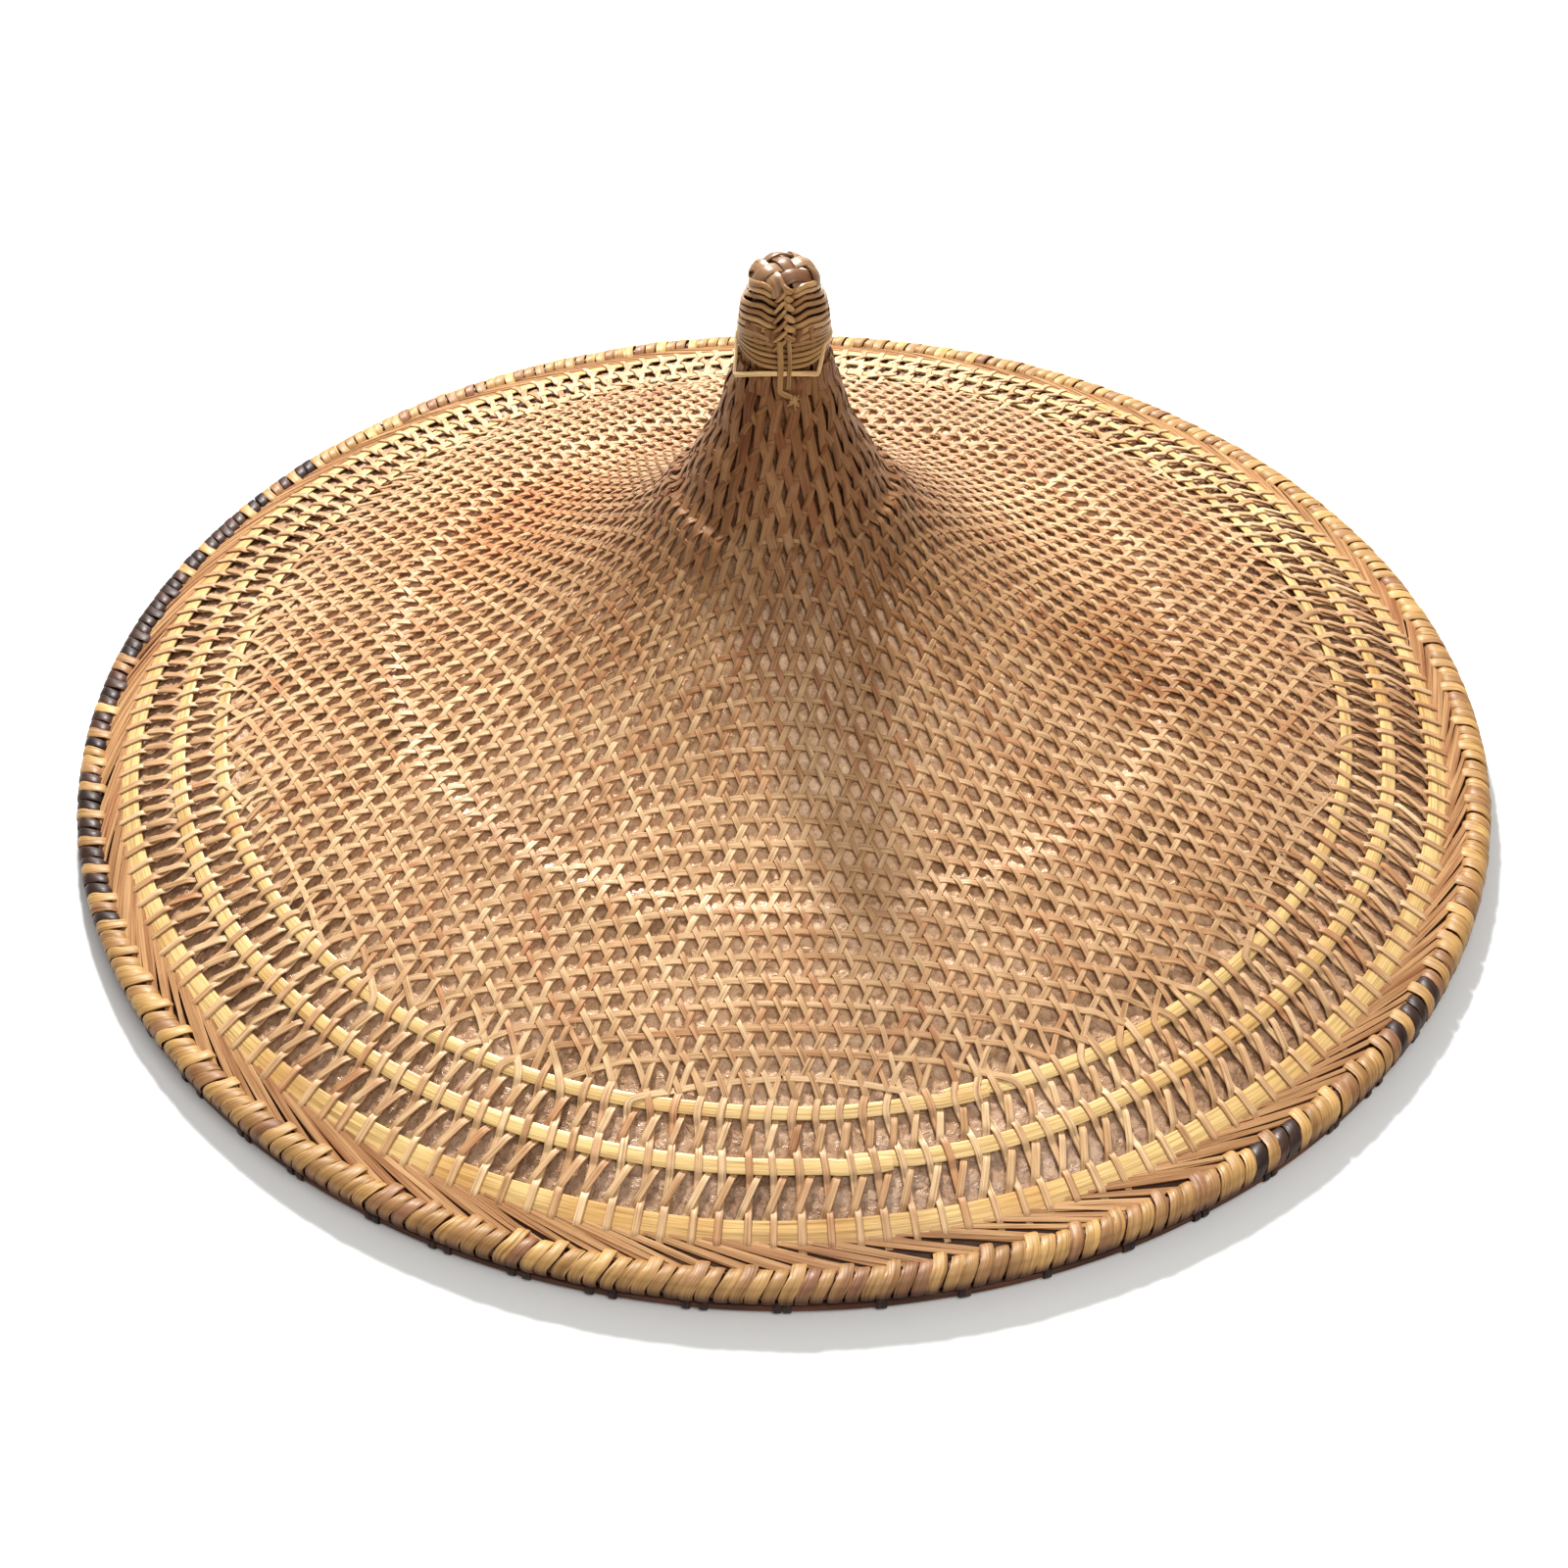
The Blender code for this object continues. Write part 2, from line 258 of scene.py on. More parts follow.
class Graph:
    """Short names for the shader nodes that the materials share."""

    def __init__(self, tree):
        self.tree = tree

    def node(self, kind, **inputs):
        made = self.tree.nodes.new(kind)
        for key, value in inputs.items():
            self.put(made.inputs[key.replace("_", " ")], value)
        return made

    def put(self, socket, value):
        if hasattr(value, "is_output"):
            self.tree.links.new(value, socket)
        else:
            socket.default_value = value

    def attribute(self, name):
        made = self.tree.nodes.new("ShaderNodeAttribute")
        made.attribute_name = name
        return made.outputs["Vector"] if name == "place" else made.outputs["Fac"]

    def maths(self, operation, a, b=0.0, clamp=False):
        made = self.tree.nodes.new("ShaderNodeMath")
        made.operation = operation
        made.use_clamp = clamp
        self.put(made.inputs[0], a)
        self.put(made.inputs[1], b)
        return made.outputs[0]

    def between(self, value, start, end):
        """How far a value is from start to end, held to 0 and 1."""
        return self.maths("DIVIDE", self.maths("SUBTRACT", value, start), end - start, True)

    def vector_maths(self, operation, a, b):
        made = self.tree.nodes.new("ShaderNodeVectorMath")
        made.operation = operation
        self.put(made.inputs[0], a)
        made.inputs[1].default_value = b
        return made.outputs["Value" if operation == "DISTANCE" else "Vector"]

    def stretched_noise(self, place, scale, detail, rough):
        """Noise that is drawn out along a strip, by a scale across it, along it and by strip."""
        return self.noise(self.vector_maths("MULTIPLY", place, scale), 1.0, detail, rough)

    def noise(self, vector, scale, detail=3.0, rough=0.6, distort=0.0):
        made = self.node(
            "ShaderNodeTexNoise",
            Vector=vector, Scale=scale, Detail=detail, Roughness=rough, Distortion=distort,
        )
        return made.outputs["Fac"]

    def ramp(self, value, *stops):
        made = self.tree.nodes.new("ShaderNodeValToRGB")
        self.put(made.inputs[0], value)
        elements = made.color_ramp.elements
        while len(elements) < len(stops):
            elements.new(0.5)
        for element, (at, colour) in zip(elements, stops):
            element.position = at
            element.color = (*colour, 1)
        return made.outputs[0]

    def shaded(self, base, value, low, high, strength=1.0):
        """The base times a colour that a value picks, from low to high: (value, colour) pairs."""
        return self.mix(strength, base, self.ramp(value, low, high), "MULTIPLY")

    def mix(self, share, a, b, mode="MIX"):
        made = self.tree.nodes.new("ShaderNodeMix")
        made.data_type = "RGBA"
        made.blend_type = mode
        self.put(made.inputs[0], share)
        for socket, value in ((made.inputs[6], a), (made.inputs[7], b)):
            self.put(socket, (*value, 1) if isinstance(value, tuple) else value)
        return made.outputs[2]

    def position(self):
        return self.node("ShaderNodeTexCoord").outputs["Object"]

    def axes(self):
        """The position's three coordinates."""
        return self.node("ShaderNodeSeparateXYZ", Vector=self.position()).outputs

    def bump(self, height, strength, distance):
        made = self.node("ShaderNodeBump", Strength=strength, Distance=distance, Height=height)
        return made.outputs[0]


AGED_SHADE = 0.62  # the aged patches' colour, as a share of the ruddy one


def splint_material(name, light, dark, ruddy, roughness=0.45, tip_shade=None, patches=0.35,
                    soiled=None, stains_and_shade=()):
    """Split bamboo: fine fibres along each strip, a tone of its own for each strip, ruddy
    stretches, and broad patches over the hat where it has aged more. stains_and_shade darkens or
    reddens the colour round given places, for a real stain and for patches of painted shade.
    tip_shade and soiled are (start, end, shade): the shade is full at start and gone at
    end, for tip_shade by distance from the axis and for soiled by height, as painted
    shade that is darkest lowest down."""
    material, g, shader = new_nodes(name)
    place, tone = g.attribute("place"), g.attribute("tone")
    fibres = g.stretched_noise(place, (2600, 45, 900), 3.0, 0.65)
    streaks = g.stretched_noise(place, (700, 14, 700), 2.0, 0.6)
    stretches = g.stretched_noise(place, (0, 22, 470), 2.0, 0.5)
    base = g.mix(tone, light, dark)
    ruddiness = g.ramp(stretches, (0.50, BLACK), (0.68, (0.8, 0.8, 0.8)))
    base = g.mix(ruddiness, base, ruddy)
    aged = g.noise(g.position(), 9.0, 3.0, 0.55)
    age = g.ramp(aged, (0.42, BLACK), (0.68, (patches,) * 3))
    base = g.mix(age, base, tuple(c * AGED_SHADE for c in ruddy))
    base = g.shaded(base, fibres, (0.30, (0.62, 0.56, 0.50)), (0.55, WHITE))
    base = g.shaded(base, streaks, (0.34, (0.66, 0.58, 0.50)), (0.48, WHITE), 0.7)
    if tip_shade:
        start, end, shade = tip_shade
        x, y, _ = g.axes()
        squares = g.maths("ADD", g.maths("MULTIPLY", x, x), g.maths("MULTIPLY", y, y))
        share = g.between(g.maths("SQRT", squares), start, end)
        base = g.shaded(base, share, (0.0, shade), (1.0, WHITE))
    # darker or redder round given places: a real stain, and patches of painted shade
    for middle, reach, shade in stains_and_shade:
        share = g.maths("DIVIDE", g.vector_maths("DISTANCE", g.position(), middle), reach)
        share = g.maths("ADD", share, g.maths("MULTIPLY", aged, 0.5))
        base = g.shaded(base, share, (0.45, shade), (1.0, WHITE))
    # painted shade, darkest lowest down: the lower side of the rim, which faces away from the light
    if soiled:
        start, end, shade = soiled
        share = g.between(g.axes()[2], start, end)
        base = g.shaded(base, share, (0.0, shade), (1.0, WHITE))
    g.put(shader.inputs["Base Color"], base)
    rough = g.ramp(fibres, (0.3, (roughness + 0.15,) * 3), (0.7, (roughness - 0.08,) * 3))
    g.put(shader.inputs["Roughness"], rough)
    g.put(shader.inputs["Normal"], g.bump(fibres, 0.35, 0.0002))
    return material


def leaf_material():
    """Dried broad leaf: grey-brown and pinkish, veined, crinkled and rather glossy."""
    material, g, shader = new_nodes("dry_leaf")
    position = g.position()
    blotches = g.noise(position, 28.0, 4.0, 0.6)
    base = g.ramp(
        blotches,
        (0.30, (0.44, 0.27, 0.15)),
        (0.48, (0.76, 0.51, 0.32)),
        (0.70, (0.90, 0.66, 0.46)),
    )
    specks = g.noise(position, 420.0, 3.0, 0.6)
    base = g.shaded(base, specks, (0.34, (0.62, 0.56, 0.52)), (0.5, WHITE), 0.8)
    height = g.axes()[2]  # the leaf is darker high on the crown and low on the brim
    # painted shade: high on the crown the leaf darkens, for the shaded gaps between the splints near
    # the neck
    base = g.shaded(base, height, (0.078, WHITE), (0.112, (0.30, 0.21, 0.15)))
    base = g.shaded(base, height, (0.018, (0.62, 0.60, 0.62)), (0.034, WHITE))
    g.put(shader.inputs["Base Color"], base)
    creases = g.noise(position, 210.0, 4.0, 0.62, 1.4)
    rough = g.ramp(creases, (0.35, (0.42,) * 3), (0.65, (0.20,) * 3))
    g.put(shader.inputs["Roughness"], rough)
    shader.inputs["Coat Weight"].default_value = 0.18
    shader.inputs["Coat Roughness"].default_value = 0.2
    g.put(shader.inputs["Normal"], g.bump(creases, 0.9, 0.0012))
    return material


# (middle, reach, shade) of places where the weave is darker or redder: a real reddish stain at
# the back left, and painted shade at the right front and on the front of the crown below the tip
STAINS_AND_SHADE = (
    ((-0.087, 0.050, 0.045), 0.074, (0.93, 0.77, 0.66)),
    ((0.105, -0.020, 0.040), 0.055, (0.72, 0.60, 0.50)),
    ((0.020, -0.035, 0.075), 0.045, (0.80, 0.70, 0.60)),
)
WEAVE_LIGHT, WEAVE_DARK, WEAVE_RUDDY = (0.79, 0.58, 0.36), (0.62, 0.40, 0.22), (0.56, 0.29, 0.15)
weave_finish = splint_material(
    "woven_splint", WEAVE_LIGHT, WEAVE_DARK, WEAVE_RUDDY, 0.5,
    tip_shade=(0.018, 0.095, (0.42, 0.31, 0.22)), stains_and_shade=STAINS_AND_SHADE,
)
inner_finish = splint_material(
    "inner_splint", (0.72, 0.54, 0.29), (0.56, 0.38, 0.18), (0.50, 0.30, 0.15), 0.55
)
hoop_finish = splint_material(
    "hoop_bamboo", (0.84, 0.64, 0.33), (0.74, 0.51, 0.22), (0.66, 0.40, 0.16), 0.38, patches=0.2
)
border_finish = splint_material(
    "border_splint", (0.68, 0.44, 0.24), (0.48, 0.28, 0.14), (0.46, 0.23, 0.12), 0.5
)
rim_finish = splint_material(
    "rim_splint", (0.68, 0.45, 0.19), (0.38, 0.22, 0.10), (0.32, 0.16, 0.10), 0.45,
    # painted shade: the turns of the rim darken towards their lower side, away from the light
    soiled=(RIM_HEIGHT - 1.4 * MM, RIM_HEIGHT + 2.8 * MM, (0.20, 0.12, 0.08)),
)
dark_finish = splint_material(
    "rim_splint_dark", (0.090, 0.055, 0.042), (0.035, 0.022, 0.020), (0.15, 0.075, 0.05), 0.42
)
core_finish = splint_material(
    "rim_core", (0.16, 0.075, 0.040), (0.08, 0.038, 0.024), (0.20, 0.075, 0.035), 0.4
)
tip_finish = splint_material(
    "tip_splint", (0.56, 0.36, 0.17), (0.34, 0.20, 0.095), (0.38, 0.20, 0.09), 0.35
)
tip_tie_finish = splint_material(
    "tip_splint_tie", (0.86, 0.64, 0.36), (0.76, 0.54, 0.28), (0.60, 0.38, 0.18), 0.4
)
tip_knot_finish = splint_material(
    "tip_splint_knot", (0.46, 0.30, 0.17), (0.20, 0.11, 0.06), (0.32, 0.17, 0.10), 0.33
)
tip_light_finish = splint_material(
    "tip_splint_light", (0.50, 0.32, 0.14), (0.34, 0.20, 0.08), (0.36, 0.20, 0.09), 0.35
)
leaf_finish = leaf_material()


# ------ the outer weave

ROWS_HIDDEN = 4  # rows of the weave gathered under the tip, on each of the six sides
ROWS_SHOWN = 26
FIRST_ROW = ROWS_HIDDEN + 0.5
LAST_ROW = FIRST_ROW + ROWS_SHOWN - 1
HOOP_ROW = LAST_ROW + 1  # the inner hoop, which stands in for the next row
FIRST_ROW_ARC = 19.6 * MM
HOOP_MARGIN = 10.2 * MM
TIP_STRETCH = (0.58, 30 * MM)  # how much wider the rows lie near the tip, and how fast that fades
WEAVE_LIFT = -0.6 * MM  # the middle of the weave, below the CAD's outer face
WEAVE_WAVE = 0.30 * MM
SPLINT = (0.97 * MM, 0.20 * MM)  # half width, half thickness
STEP = 0.17  # rows between samples along a splint
NECK_NARROWING = 0.5  # where a splint runs round the neck
TIP_WIDENING = 0.62
BRIM_WIDENING = 0.17
NECK_SINK = 0.16 * MM
EASE_ROWS = 4.0  # over which splints ease from the weave's order to even spacing at the hoop
LIFT_ROWS = 1.4  # over which they rise or sink to pass the hoop


def hoop_line(name):
    inner, outer, _, _ = ring_size(name)
    return arc_at((inner + outer) / 2), (outer - inner) / 2


HOOPS = {name: hoop_line(name) for name in ("inner_hoop", "middle_hoop", "outer_hoop")}
INNER_ARC, MIDDLE_ARC, OUTER_ARC = (HOOPS[name][0] for name in HOOPS)


def row_scale():
    """Arcs and the row coordinate at each: how many rows out from the axis that place is."""
    size, fade = TIP_STRETCH
    arcs = np.linspace(0, INNER_ARC - HOOP_MARGIN, 1500)
    density = 1 / (1 + size * np.exp(-(arcs - FIRST_ROW_ARC) / fade))
    rows = np.concatenate([[0], np.cumsum((density[1:] + density[:-1]) / 2 * np.diff(arcs))])
    at_first = np.interp(FIRST_ROW_ARC, arcs, rows)
    rows = FIRST_ROW + (rows - at_first) * (LAST_ROW - FIRST_ROW) / (rows[-1] - at_first)
    return np.append(arcs, INNER_ARC), np.append(rows, HOOP_ROW)


ROW_ARCS, ROW_COORDS = row_scale()
NECK_ROW = ROW_COORDS[0]
FAMILY_ANGLES = [FRONT, FRONT + math.radians(60), FRONT + math.radians(120)]


def weave_lines():
    """Each straight run of a splint in the flat weave: family, offset, first and last place along
    it. A line that would pass under the tip is two runs, one on each side of it."""
    offsets = np.arange(0.5, LAST_ROW + 0.1)
    for family in range(3):
        for offset in np.concatenate([-offsets[::-1], offsets]):
            end = math.sqrt(HOOP_ROW**2 - offset**2)
            if abs(offset) < NECK_ROW:
                start = math.sqrt(NECK_ROW**2 - offset**2)
                yield family, offset, (-end, -start)
                yield family, offset, (start, end)
            else:
                yield family, offset, (-end, end)


def flat_point(family, offset, along):
    angle = FAMILY_ANGLES[family]
    x = offset * math.cos(angle) - along * math.sin(angle)
    y = offset * math.sin(angle) + along * math.cos(angle)
    return x, y


def crossings(lines):
    """Where the lines' outer ends meet the inner hoop, in order round it. Every second one passes
    over the hoops. Returns {(line, end): (even azimuth, whether it is over)}."""
    ends = []
    for i, (family, offset, span) in enumerate(lines):
        for end in (0, 1):
            x, y = flat_point(family, offset, span[end])
            if math.hypot(x, y) > HOOP_ROW - 0.01:
                ends.append((math.atan2(y, x) % TURN, i, end))
    ends.sort()
    pitch = TURN / len(ends)
    shift = np.mean([azimuth - rank * pitch for rank, (azimuth, _, _) in enumerate(ends)])
    leans = [1 if (lines[i][1] > 0) == (end == 0) else -1 for _, i, end in ends]
    parity = 0 if sum(leans[::2]) > sum(leans[1::2]) else 1
    return {
        (i, end): (shift + rank * pitch, rank % 2 == parity)
        for rank, (_, i, end) in enumerate(ends)
    }, len(ends) // 2


# Beyond the inner hoop, places round the hat are in slots: one for each splint over the hoops.
OVER_DRIFT = (0.0, 0.38, 0.42)  # slots that a splint over the hoops has moved by, at each hoop
UNDER_DRIFT = (0.0, -0.53, -1.55)
BRIM_STEP = 0.95 * MM
OVER_HOOP_LIFT = 0.80 * MM
BETWEEN_LIFT = 0.34 * MM
HOOP_SOFT = 2.6 * MM  # how far past a hoop's edge a splint takes to come down
OVER_TAIL = 6.6 * MM
BORDER_RUN = 5.0  # slots that a border strand runs to the right
BORDER_HALF = 0.72 * MM


def lift_at_hoops(arc, over):
    """Height of an end over or under the hoops, and the other way between them."""
    near = np.zeros_like(arc)
    for middle, half in HOOPS.values():
        near = np.maximum(near, smoothstep(1 - (np.abs(arc - middle) - half) / HOOP_SOFT))
    lift = near * OVER_HOOP_LIFT - (1 - near) * BETWEEN_LIFT
    return lift if over else -lift


def brim_end(azimuth, over, slot):
    """The rest of a splint, from the inner hoop outwards: (arc, azimuth, lift) arrays."""
    stop = OUTER_ARC + OVER_TAIL if over else OUTER_ARC + HOOPS["outer_hoop"][1]
    arcs = np.arange(INNER_ARC, stop, BRIM_STEP)
    drift = OVER_DRIFT if over else UNDER_DRIFT
    knots = (INNER_ARC, MIDDLE_ARC, OUTER_ARC)
    soft = (MIDDLE_ARC - INNER_ARC) / 4
    moved = sum(np.interp(arcs + d, knots, drift) for d in (-soft, 0, soft)) / 3
    jitter = rng.gauss(0, 0.05)
    moved = moved + jitter * smoothstep((arcs - INNER_ARC) / (8 * MM))
    lift = lift_at_hoops(arcs, over)
    if over:
        tail = smoothstep((arcs - OUTER_ARC - HOOPS["outer_hoop"][1]) / (4 * MM))
        lift = lift * (1 - tail) + tail * 0.1 * MM
    return arcs, azimuth + moved * slot, lift


def extended(values, more, side):
    """The values with more of them added before (side 0) or after (side 1). The first of the
    added ones is the place that they share, so it is left out."""
    return np.concatenate([more[:0:-1], values] if side == 0 else [values, more[1:]])


def splint_width(offset, rows, radius):
    """Share of the usual width along a splint, and how far it runs round the neck."""
    around = smoothstep((abs(offset) / np.maximum(rows, 1) - 0.6) / 0.3)
    around = around * (1 - smoothstep((radius - 22 * MM) / (60 * MM)))
    width = 1 - NECK_NARROWING * around
    width = width * (1 + TIP_WIDENING * (1 - smoothstep((radius - 20 * MM) / (38 * MM))))
    return width * (1 + BRIM_WIDENING * smoothstep(rows - HOOP_ROW + 1)), around


def outer_weave():
    lines = list(weave_lines())
    even, slots = crossings(lines)
    slot = TURN / slots
    weaves = [Ribbons() for _ in range(3)]
    half_width, half_thickness = SPLINT
    for i, (family, offset, (start, end)) in enumerate(lines):
        count = max(int((end - start) / STEP), 6)
        along = np.linspace(start, end, count)
        x, y = flat_point(family, offset, along)
        rows, azimuth = np.hypot(x, y), np.unwrap(np.arctan2(y, x))
        over_angle = FAMILY_ANGLES[(family + 1) % 3]
        across = x * math.cos(over_angle) + y * math.sin(over_angle)
        lift = -WEAVE_WAVE * np.cos(TURN * across)
        arc = np.interp(rows, ROW_COORDS, ROW_ARCS)
        arc = arc + wander(count, 0.16 * MM) * smoothstep((rows - NECK_ROW) / 3)
        for side in (0, 1):
            if (i, side) not in even:
                continue
            target, over = even[i, side]
            last = azimuth[-side]
            shift = half_turned(target - last)
            this_half = (along < 0) if side == 0 else (along >= 0)
            near = this_half * smoothstep((rows - HOOP_ROW + EASE_ROWS) / EASE_ROWS)
            azimuth = azimuth + shift * near
            fade = this_half * smoothstep((rows - HOOP_ROW + LIFT_ROWS) / LIFT_ROWS)
            lift = lift * (1 - fade) + lift_at_hoops(arc, over) * fade
            more_arc, more_azimuth, more_lift = brim_end(last + shift, over, slot)
            arc = extended(arc, more_arc, side)
            azimuth = extended(azimuth, more_azimuth, side)
            lift = extended(lift, more_lift, side)
            rows = extended(rows, np.full(len(more_arc), HOOP_ROW), side)
            along = extended(along, np.full(len(more_arc), (start, end)[side]), side)
        azimuth = eased(azimuth, rows > HOOP_ROW - EASE_ROWS)
        width, around = splint_width(offset, rows, np.interp(arc, ARCS, RADII))
        width = width * half_width * rng.uniform(0.86, 1.12)
        points, normals = on_crown(arc, azimuth, WEAVE_LIFT + lift - NECK_SINK * around)
        weaves[family].add(points, normals, width, half_thickness)
    for family, weave in enumerate(weaves):
        weave.build(f"outer_weave_{family + 1}", weave_finish, "woven_splint", "outer_weave")
    return slots


def eased(values, where, reach=4):
    """The values with bends rounded off by a running mean, where asked."""
    padded = np.concatenate([
        2 * values[0] - values[reach:0:-1], values, 2 * values[-1] - values[-2:-reach - 2:-1]
    ])
    kernel = np.hanning(2 * reach + 3)[1:-1]
    mean = np.convolve(padded, kernel / kernel.sum(), "valid")
    return values + (mean - values) * blurred(where.astype(float))


# ------ hoops and border

HOOP_HALF_THICKNESS = 0.42 * MM
SPLICES = {"inner_hoop": 284, "middle_hoop": 275, "outer_hoop": 52}  # azimuth in degrees
SPLICE_LENGTH = 12 * MM


def flat_hoops():
    for name, (arc, half) in HOOPS.items():
        hoop = Ribbons(ROUNDED)
        start = math.radians(SPLICES[name])
        reach = SPLICE_LENGTH / np.interp(arc, ARCS, RADII)
        azimuth = np.linspace(start, start + TURN + reach, 420)
        last = smoothstep((azimuth - azimuth[-1] + 1.6 * reach) / (0.5 * reach))
        first = smoothstep(1 - (azimuth - azimuth[0] - reach) / (0.5 * reach))
        arcs = arc + 0.8 * MM * (last - first) + wander(len(azimuth), 0.18 * MM)
        lift = WEAVE_LIFT + 0.35 * MM * (last - first)
        ends = np.minimum(azimuth - azimuth[0], azimuth[-1] - azimuth)
        width = half * (0.8 + 0.2 * smoothstep(ends / (0.3 * reach)))
        hoop.add(*on_crown(arcs, azimuth, lift), width, HOOP_HALF_THICKNESS, 0.3)
        hoop.build(f"{name}_bamboo", hoop_finish, "hoop_bamboo", name)


def border(slots):
    """Splint ends that come out below the outer hoop and run aside, laid over each other, with
    a dark band beneath them that is painted shade in the gaps between them.
    """
    slot = TURN / slots
    start_arc = OUTER_ARC + HOOPS["outer_hoop"][1] - 0.8 * MM
    stop_arc = arc_at(RIM_RADIUS) - 1.0 * MM
    strands = Ribbons()
    for lag, sink in ((0.0, 0.0), (0.45, 0.22 * MM)):
        for i in range(slots):
            share = np.linspace(0, 1, 18)
            run = BORDER_RUN + rng.gauss(0, 0.45)
            azimuth = (i + lag + rng.gauss(0, 0.1)) * slot + run * slot * share**0.9
            arc = start_arc + (stop_arc - start_arc) * share**1.15 + rng.gauss(0, 0.15 * MM)
            lift = WEAVE_LIFT - sink + (0.1 + 1.0 * share + 0.35 * np.sin(math.pi * share)) * MM
            width = BORDER_HALF * (0.55 + 0.45 * smoothstep(share / 0.2)) * rng.uniform(0.8, 1.15)
            strands.add(*on_crown(arc, azimuth, lift), width, 0.3 * MM)
    strands.build("border_strands", border_finish, "border_splint", "border_braid")
    # a dark band under the border: painted shade in the gaps between its splint ends
    azimuth = right_round(240)
    base = Ribbons()
    middle = np.full(len(azimuth), (start_arc + stop_arc) / 2)
    points, normals = on_crown(middle, azimuth, WEAVE_LIFT - 0.6 * MM)
    base.add(points, normals, (stop_arc - start_arc) / 2, 0.2 * MM, 0.5, True)
    base.build("border_painted_shade", core_finish, "border_splint", "border_braid")


# ------ rim

BINDING_HALF = 3.95 * MM  # half the size of the bundle's section
BINDING_PITCH = 4.25 * MM
WRAP_HALF_WIDTH = 1.88 * MM
WRAP_HALF_THICKNESS = 0.36 * MM
BUNDLE_HALF = 3.45 * MM
SQUARENESS = 2.4
DARK_STRETCHES = ((141, 206), (304, 309), (321, 327))  # azimuths where dark splints are mixed in
DARK_SHARES = (0.9, 0.12)  # of the short and of the long turns in those stretches
LONG_REACH = 2.31 * MM  # how much further in a long turn reaches, over the border
LONG_EVERY = 3


def bundle_section(turn, half_r, half_z):
    """A rounded square section, as offsets outwards and upwards from the bundle's centre."""
    cos, sin = np.cos(turn), np.sin(turn)
    out = np.sign(cos) * np.abs(cos) ** (2 / SQUARENESS) * half_r
    up = np.sign(sin) * np.abs(sin) ** (2 / SQUARENESS) * half_z
    return out, up


def rim_loop(azimuth, out, up, along):
    """Points round the bundle: offsets in its section, and a shift along the rim."""
    return polar(RIM_RADIUS + out, azimuth + along / RIM_RADIUS, RIM_HEIGHT + up)


def rim_binding():
    natural, dark = Ribbons(ROUNDED), Ribbons(ROUNDED)
    count = round(TURN * RIM_RADIUS / BINDING_PITCH)
    turn = right_round(26) + math.radians(225)
    for i in range(count):
        azimuth = TURN * i / count
        degrees = math.degrees(azimuth)
        long = i % LONG_EVERY == LONG_EVERY - 1
        size = BINDING_HALF * rng.uniform(0.97, 1.04)
        out, up = bundle_section(turn, size, size * rng.uniform(0.96, 1.05))
        if long:
            inward = smoothstep(-out / size) * smoothstep(up / size)
            out = out - LONG_REACH * inward
            up = up + 0.2 * MM * inward
        share = (turn - turn[0]) / TURN
        slant = BINDING_PITCH * (0.9 * smoothstep((share - 0.35) / 0.4) - 0.45)
        slant = slant + rng.gauss(0, 0.25 * MM)
        points = rim_loop(azimuth, out, up, slant)
        normals = unit(points - rim_loop(azimuth, 0, 0, slant))
        shaded = any(low < degrees < high for low, high in DARK_STRETCHES)
        shaded = shaded and rng.random() < DARK_SHARES[long]
        strips = dark if shaded else natural
        tone = min(max(rng.gauss(0.25 if long else 0.5, 0.22), 0), 1)
        width = WRAP_HALF_WIDTH * rng.uniform(0.92, 1.06)
        strips.add(points, normals, width, WRAP_HALF_THICKNESS, tone)
    bound = [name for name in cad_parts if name.startswith("rim_binding")]
    natural.build("rim_binding_natural", rim_finish, "rim_splint", *bound)
    dark.build("rim_binding_dark", dark_finish, "rim_splint", *bound)


def round_hoop(name, node, material, slot, half=None):
    """A round hoop where a CAD ring is, a little knotty along its length."""
    inner, outer, low, high = ring_size(node)
    if half is None:
        half = (outer - inner) / 2, (high - low) / 2
    hoop = Ribbons([(math.cos(a), math.sin(a)) for a in np.linspace(TURN, 0, 10, endpoint=False)])
    azimuth = right_round(360)
    points = polar((inner + outer) / 2, azimuth, (low + high) / 2)
    normals = np.tile([0.0, 0.0, 1.0], (len(azimuth), 1))
    knots = 1 - 0.06 * np.cos(azimuth * 9) ** 8
    hoop.add(points, normals, half[0] * knots, half[1], 0.5, True)
    hoop.build(name, material, slot, node)


UNDER_PAIRS = 60
UNDER_SHIFT = 1.35 * MM  # each of a pair's two turns, from the pair's middle
UNDER_PROUD = 0.25 * MM  # how far the turns stand off the lower hoop


def under_wraps():
    """Pairs of dark turns round the lower hoop, some way apart."""
    inner, outer, low, high = ring_size("rim_under_hoop")
    wraps = Ribbons(ROUNDED)
    turn = right_round(20)
    cos, sin = np.cos(turn), np.sin(turn)
    half_r, half_z = (outer - inner) / 2 + UNDER_PROUD, (high - low) / 2 + UNDER_PROUD
    radius = (outer + inner) / 2 + np.sign(cos) * np.abs(cos) ** 0.8 * half_r
    height = (low + high) / 2 + UNDER_PROUD + np.sign(sin) * np.abs(sin) ** 0.8 * half_z
    for i in range(UNDER_PAIRS):
        for side in (-UNDER_SHIFT, UNDER_SHIFT):
            angle = TURN * (i + rng.uniform(-0.12, 0.12)) / UNDER_PAIRS + side / outer
            points, normals = polar(radius, angle, height), polar(cos, angle, sin)
            wraps.add(points, normals, 1.1 * MM, 0.25 * MM, None, True)
    wraps.build("rim_under_wraps", dark_finish, "rim_splint", "rim_under_hoop")


# ------ leaf lining and inner weave

LEAF_LIFT = -2.05 * MM
LEAF_THICKNESS = 0.25 * MM
CRINKLE_WAVES = 26
CRINKLE_HEIGHT = 0.095 * MM


